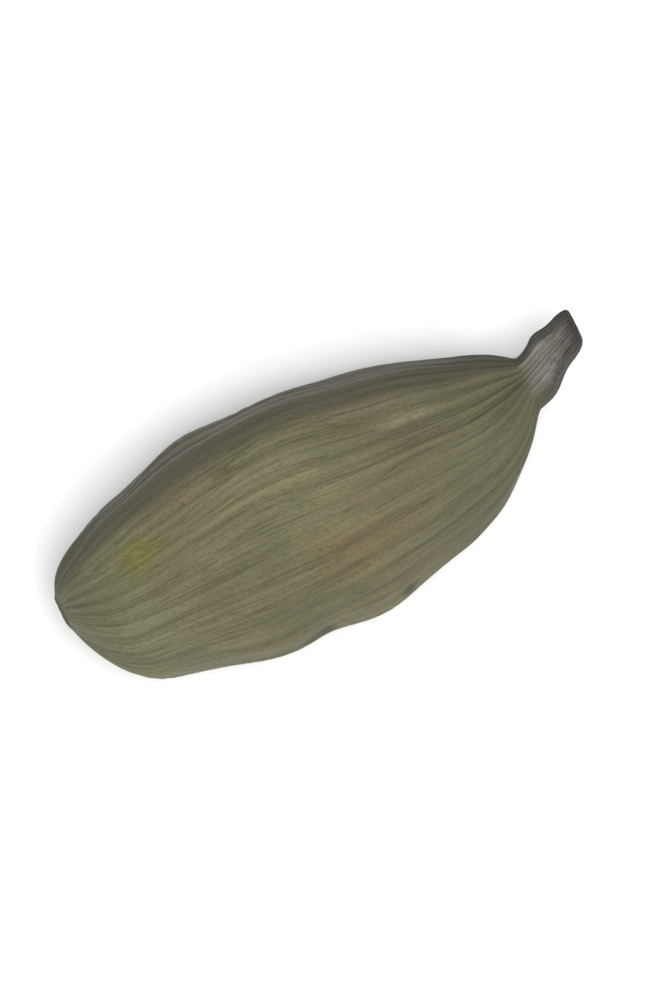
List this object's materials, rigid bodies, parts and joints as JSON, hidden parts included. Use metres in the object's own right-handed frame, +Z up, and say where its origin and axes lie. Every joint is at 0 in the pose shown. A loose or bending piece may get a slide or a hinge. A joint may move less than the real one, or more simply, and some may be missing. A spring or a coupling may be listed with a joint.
{
  "type": "green cardamom pod",
  "caption": "Dried green cardamom pod: a ribbed, three-sided seed capsule with a blunt blossom end and a bent stalk stub, lying on one face.",
  "frame": {"origin": "centre of the pod's outline seen from above, on the surface that it lies on", "axes": "+X along the pod from the blunt blossom end towards the stalk, +Z up, and +Y towards the side that the stalk bends to"},
  "size_m": [0.019, 0.008, 0.0069],
  "materials": {
    "husk": "matte"
  },
  "bodies": {
    "root": {"cardamom_pod": "husk"}
  },
  "joints": []
}
